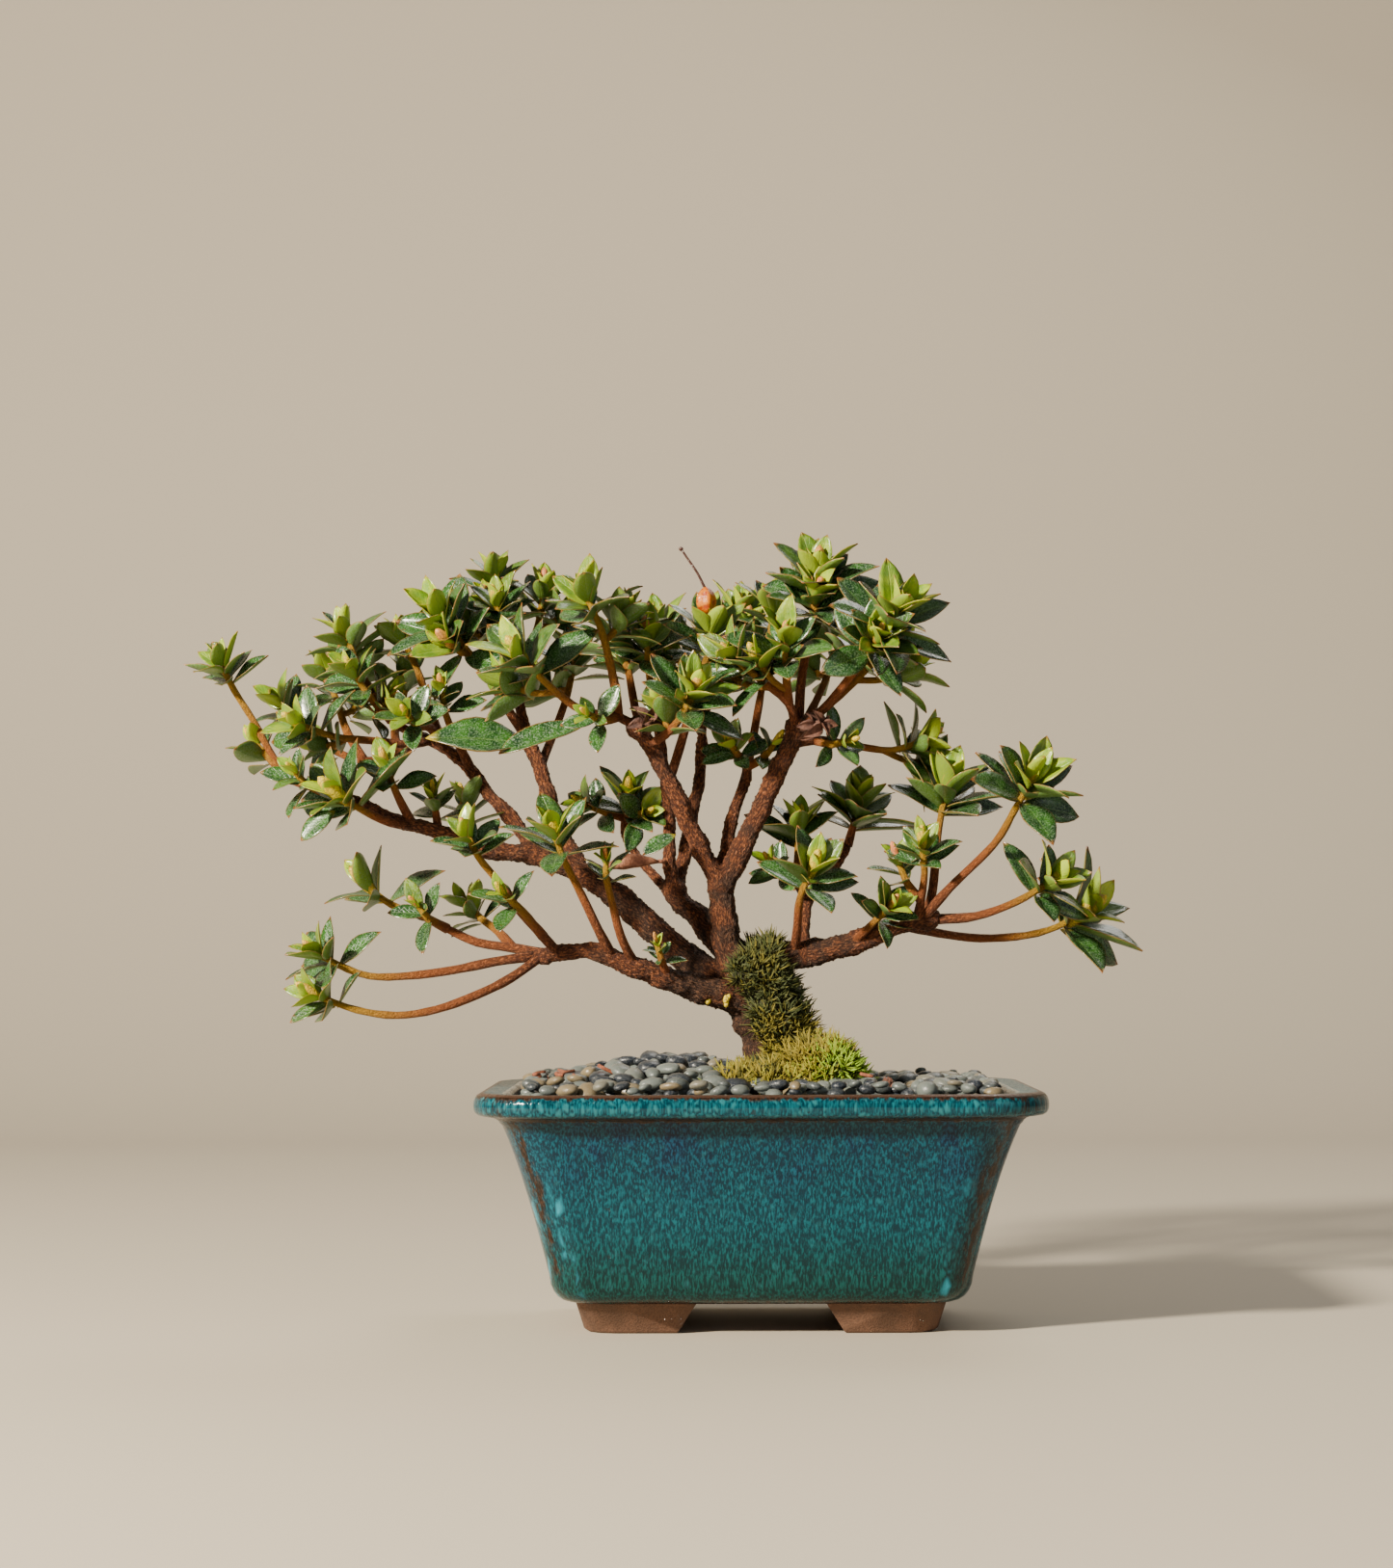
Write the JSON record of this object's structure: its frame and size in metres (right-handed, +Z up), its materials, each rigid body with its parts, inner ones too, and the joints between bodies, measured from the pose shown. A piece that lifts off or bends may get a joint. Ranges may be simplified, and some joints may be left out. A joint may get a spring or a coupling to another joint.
{
  "type": "azalea bonsai in a rectangular pot",
  "caption": "Small azalea bonsai with leaning multi-branched trunk, leafy shoots, moss and pebbles, in a tapered rectangular glazed ceramic pot on corner feet.",
  "frame": {"origin": "middle of the whole object's bounding box, at the table", "axes": "+X along the pot's long side, towards the side with the shorter branches; +Y from the front to the back of the pot; +Z up"},
  "size_m": [0.342, 0.159, 0.2888],
  "materials": {
    "pot_glaze": "gloss",
    "screen_plastic": "matte",
    "soil": "matte",
    "pebble_stone": "satin",
    "moss": "matte",
    "bark": "matte",
    "leaf": "satin",
    "withered_leaf": "matte",
    "seed_pod": "satin"
  },
  "bodies": {
    "root": {"drain_screen_left": "screen_plastic", "drain_screen_right": "screen_plastic", "dry_leaf": "withered_leaf", "moss_mound": "moss", "moss_on_trunk": "moss", "pebbles": "pebble_stone", "pot": "pot_glaze", "seed_pod": "seed_pod", "shoot_arm_end": "leaf", "shoot_arm_fan": "leaf", "shoot_arm_riser_inner": "leaf", "shoot_arm_riser_middle": "leaf", "shoot_arm_riser_outer": "leaf", "shoot_crown_back_left": "leaf", "shoot_crown_back_middle": "leaf", "shoot_crown_back_right": "leaf", "shoot_crown_far_right_back": "leaf", "shoot_crown_left_front": "leaf", "shoot_crown_left_top": "leaf", "shoot_crown_middle": "leaf", "shoot_crown_middle_back": "leaf", "shoot_crown_middle_right": "leaf", "shoot_crown_pod": "leaf", "shoot_crown_right": "leaf", "shoot_crown_right_top": "leaf", "shoot_front_riser_middle": "leaf", "shoot_front_riser_right": "leaf", "shoot_knot_left": "leaf", "shoot_knot_left_front": "leaf", "shoot_knot_right_front": "leaf", "shoot_left_back": "leaf", "shoot_left_crown": "leaf", "shoot_left_inner": "leaf", "shoot_left_small": "leaf", "shoot_left_spread": "leaf", "shoot_left_upright": "leaf", "shoot_low_left_front": "leaf", "shoot_low_left_lower": "leaf", "shoot_low_left_middle": "leaf", "shoot_low_left_upper": "leaf", "shoot_middle_low": "leaf", "shoot_right_front": "leaf", "shoot_right_high": "leaf", "shoot_right_inner": "leaf", "shoot_right_small_pair": "leaf", "shoot_right_tip_lower": "leaf", "shoot_right_tip_upper": "leaf", "shoot_right_twin_back": "leaf", "shoot_right_twin_front": "leaf", "shoot_riser_pair": "leaf", "shoot_riser_top": "leaf", "shoot_side_spray": "leaf", "shoot_trunk_sprout": "leaf", "soil": "soil", "trunk_and_limbs": "bark", "withered_bloom_left": "withered_leaf", "withered_bloom_right": "withered_leaf"}
  },
  "joints": []
}
